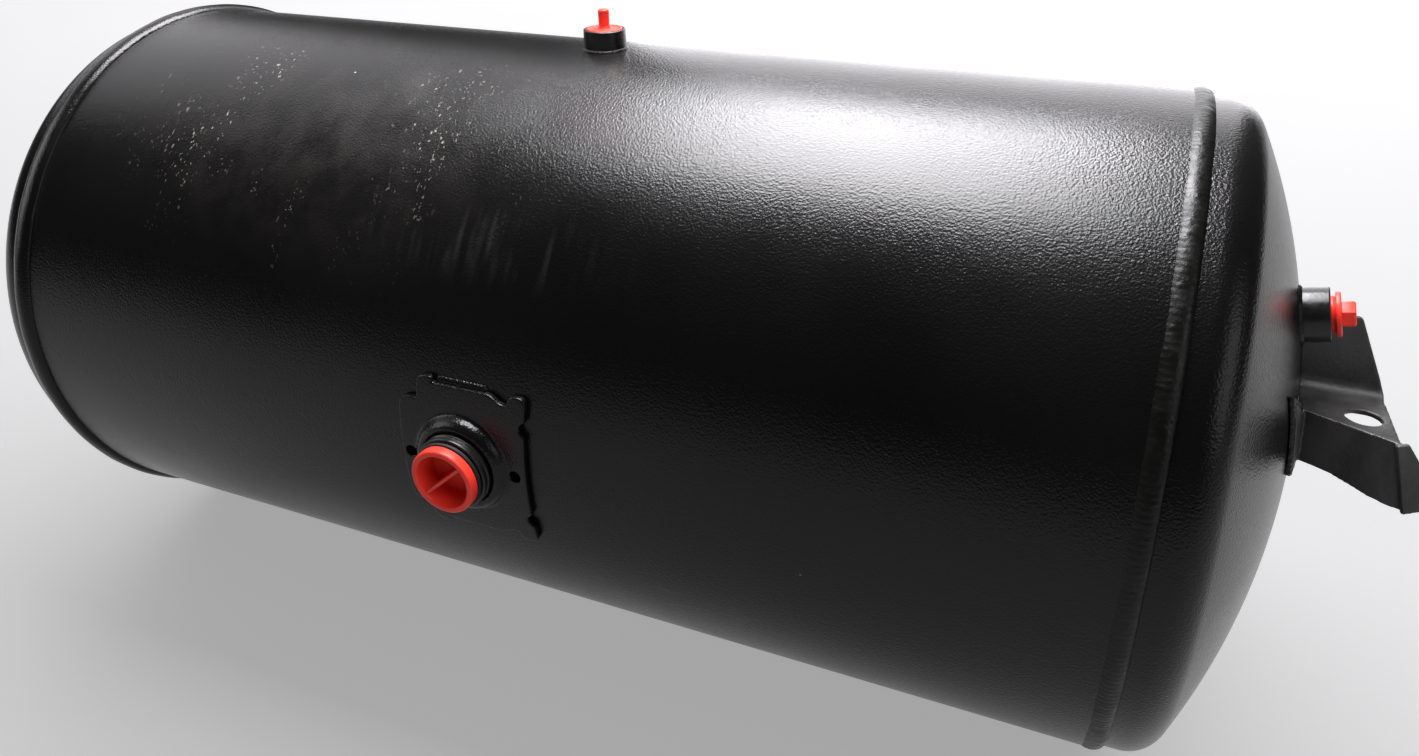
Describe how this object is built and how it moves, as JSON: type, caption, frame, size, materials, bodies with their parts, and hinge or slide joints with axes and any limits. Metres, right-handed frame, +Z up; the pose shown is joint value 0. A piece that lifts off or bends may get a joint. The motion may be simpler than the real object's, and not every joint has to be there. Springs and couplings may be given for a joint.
{
  "type": "air receiver tank",
  "caption": "Horizontal welded steel air receiver with dished heads, a flanged front port, a top port, an end port, red transit plugs and a folded mounting bracket.",
  "frame": {"origin": "bottom centre of the whole tank's box, on the surface it lies on", "axes": "+X along the tank axis towards the end with the bracket, -Y out of the flanged port, +Z up out of the top port"},
  "size_m": [0.9362, 0.4238, 0.425],
  "materials": {
    "powder_coat": "satin black powder coat with fine orange peel",
    "coated_weld": "satin black over rippled weld",
    "gloss_coat": "glossier black paint over machined steel",
    "red_plastic": "semi-gloss moulded plastic",
    "rubber": "matt"
  },
  "bodies": {
    "tank": {"shell": "powder_coat", "head_left": "powder_coat", "head_right": "powder_coat", "girth_weld_left": "coated_weld", "girth_weld_right": "coated_weld", "seam_weld": "coated_weld", "top_port_boss": "gloss_coat", "top_port_weld": "coated_weld", "flange_plate": "powder_coat", "plate_weld_upper": "coated_weld", "plate_weld_lower": "coated_weld", "neck_collar": "gloss_coat", "head_port_boss": "gloss_coat", "head_port_weld": "coated_weld", "bracket": "powder_coat", "bracket_foot_weld": "coated_weld", "bracket_back_weld": "coated_weld"},
    "top_plug": {"top_plug": "red_plastic"},
    "front_cap": {"front_cap": "red_plastic", "cap_gasket": "rubber"},
    "head_plug": {"head_plug": "red_plastic"}
  },
  "joints": [
    {"name": "top_plug_out", "type": "slide", "parent": "tank", "child": "top_plug", "axis": [0, 0, 1], "range_m": [0, 0.03]},
    {"name": "front_cap_out", "type": "slide", "parent": "tank", "child": "front_cap", "axis": [0, -1, 0], "range_m": [0, 0.03]},
    {"name": "head_plug_out", "type": "slide", "parent": "tank", "child": "head_plug", "axis": [0.9672, -0.0793, 0.2414], "range_m": [0, 0.03]}
  ]
}
